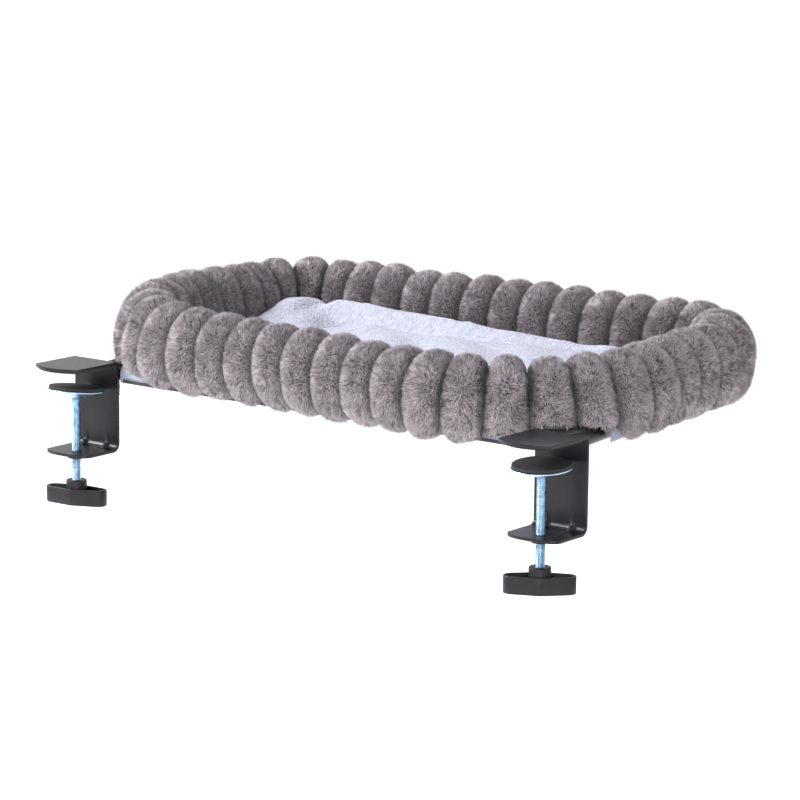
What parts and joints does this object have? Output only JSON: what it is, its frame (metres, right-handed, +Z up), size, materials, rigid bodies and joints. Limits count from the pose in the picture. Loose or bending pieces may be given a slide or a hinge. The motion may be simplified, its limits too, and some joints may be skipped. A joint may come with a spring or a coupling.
{
  "type": "clamp-on pet bed",
  "caption": "Clamp-on cat bed: a tube frame with a slung cloth cover, a lobed fur bolster and a fleece pad, held to a desk's edge by screw clamps.",
  "frame": {"origin": "on the desk's top at its edge, midway between the two clamps", "axes": "+X along the desk's edge to the right as seen from the desk, +Y away from the desk under the bed, +Z up"},
  "size_m": [0.557, 0.3766, 0.189],
  "materials": {
    "coat": "satin black powder coat",
    "plastic": "moulded black, matt",
    "rubber": "matt black",
    "zinc": "bright blue-white zinc plate",
    "cloth": "woven, pale blue-white",
    "stitching": "dark stitched tape",
    "fur": "short plush fur, taupe grey",
    "fleece": "short fleece, pale bluish white"
  },
  "bodies": {
    "bed": {"front_rail": "coat", "rear_hoop": "coat", "bed_cover": "cloth", "cover_binding": "stitching", "bolster": "fur", "fleece_pad": "fleece", "left_tube_coupler": "coat", "left_clamp_bracket": "coat", "left_jaw_pad": "rubber", "left_thread_nut": "coat", "left_saddle_clip": "coat", "left_clip_screw": "zinc", "right_tube_coupler": "coat", "right_clamp_bracket": "coat", "right_jaw_pad": "rubber", "right_thread_nut": "coat", "right_saddle_clip": "coat", "right_clip_screw": "zinc"},
    "left_ball": {"left_ball_end": "zinc"},
    "left_screw": {"left_clamp_screw": "zinc", "left_knob": "plastic"},
    "left_disc": {"left_pressure_disc": "zinc", "left_disc_pad": "rubber"},
    "right_ball": {"right_ball_end": "zinc"},
    "right_screw": {"right_clamp_screw": "zinc", "right_knob": "plastic"},
    "right_disc": {"right_pressure_disc": "zinc", "right_disc_pad": "rubber"}
  },
  "joints": [
    {"name": "left_screw_travel", "type": "slide", "parent": "bed", "child": "left_ball", "axis": [0, 0, 1], "range_m": [-0.038, 0.0125]},
    {"name": "left_screw_turn", "type": "hinge", "parent": "left_ball", "child": "left_screw", "pos_m": [-0.247, -0.026, 0], "axis": [0, 0, 1], "range_deg": [-10945, 3601]},
    {"name": "left_disc_tilt", "type": "hinge", "parent": "left_ball", "child": "left_disc", "pos_m": [-0.247, -0.026, -0.02233], "axis": [1, 0, 0], "range_deg": [-2.6, 13.4]},
    {"name": "right_screw_travel", "type": "slide", "parent": "bed", "child": "right_ball", "axis": [0, 0, 1], "range_m": [-0.038, 0.0125]},
    {"name": "right_screw_turn", "type": "hinge", "parent": "right_ball", "child": "right_screw", "pos_m": [0.247, -0.026, 0], "axis": [0, 0, 1], "range_deg": [-10945, 3601]},
    {"name": "right_disc_tilt", "type": "hinge", "parent": "right_ball", "child": "right_disc", "pos_m": [0.247, -0.026, -0.02233], "axis": [1, 0, 0], "range_deg": [-11.6, 4.4]}
  ],
  "couplings": [
    {"joint": "left_screw_turn", "follows": "left_screw_travel", "rad_per_m": 5026.5},
    {"joint": "right_screw_turn", "follows": "right_screw_travel", "rad_per_m": 5026.5}
  ]
}
